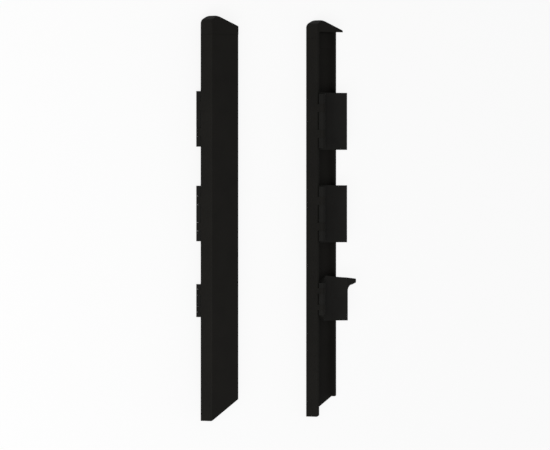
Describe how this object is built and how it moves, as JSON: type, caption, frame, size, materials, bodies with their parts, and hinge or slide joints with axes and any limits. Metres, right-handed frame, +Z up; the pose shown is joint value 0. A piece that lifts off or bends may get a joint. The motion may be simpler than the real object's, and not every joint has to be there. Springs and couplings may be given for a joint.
{
  "type": "skate blade guards",
  "caption": "Mirrored pair of long channel-shaped guards for speed-skate blades, each with a full side wall, a closed nose and hinged clips that close over the blade tube.",
  "frame": {"origin": "bottom centre of the whole pair's bounding box, on the surface that both guards lie on", "axes": "+X along the guards from nose to heel, +Y from the soles towards the walls' free edges, +Z up. The left guard is the one at lower Y."},
  "size_m": [0.43, 0.236, 0.0242],
  "materials": {
    "channel_plastic": "black moulded plastic, fine grain",
    "clip_plastic": "black moulded plastic, slightly smoother than the channel",
    "pin_steel": "blackened steel rod"
  },
  "bodies": {
    "root": {"left_channel": "channel_plastic", "left_nose_cap": "channel_plastic", "left_front_clip_pin": "pin_steel", "left_middle_clip_pin": "pin_steel", "left_rear_clip_pin": "pin_steel", "right_channel": "channel_plastic", "right_nose_cap": "channel_plastic", "right_front_clip_pin": "pin_steel", "right_middle_clip_pin": "pin_steel", "right_rear_clip_pin": "pin_steel"},
    "left_front_clip": {"left_front_clip": "clip_plastic"},
    "left_middle_clip": {"left_middle_clip": "clip_plastic"},
    "left_rear_clip": {"left_rear_clip": "clip_plastic"},
    "right_front_clip": {"right_front_clip": "clip_plastic"},
    "right_middle_clip": {"right_middle_clip": "clip_plastic"},
    "right_rear_clip": {"right_rear_clip": "clip_plastic"}
  },
  "joints": [
    {"name": "left_front_clip_hinge", "type": "hinge", "parent": "root", "child": "left_front_clip", "pos_m": [-0.1055, -0.1144, 0.0036], "axis": [-1, 0, 0], "range_deg": [0, 75]},
    {"name": "left_middle_clip_hinge", "type": "hinge", "parent": "root", "child": "left_middle_clip", "pos_m": [-0.005, -0.1144, 0.0036], "axis": [-1, 0, 0], "range_deg": [0, 75]},
    {"name": "left_rear_clip_hinge", "type": "hinge", "parent": "root", "child": "left_rear_clip", "pos_m": [0.0875, -0.1144, 0.0036], "axis": [-1, 0, 0], "range_deg": [0, 75]},
    {"name": "right_front_clip_hinge", "type": "hinge", "parent": "root", "child": "right_front_clip", "pos_m": [-0.1055, 0.0656, 0.0206], "axis": [1, 0, 0], "range_deg": [0, 75]},
    {"name": "right_middle_clip_hinge", "type": "hinge", "parent": "root", "child": "right_middle_clip", "pos_m": [-0.005, 0.0656, 0.0206], "axis": [1, 0, 0], "range_deg": [0, 75]},
    {"name": "right_rear_clip_hinge", "type": "hinge", "parent": "root", "child": "right_rear_clip", "pos_m": [0.0875, 0.0656, 0.0206], "axis": [1, 0, 0], "range_deg": [0, 75]}
  ]
}
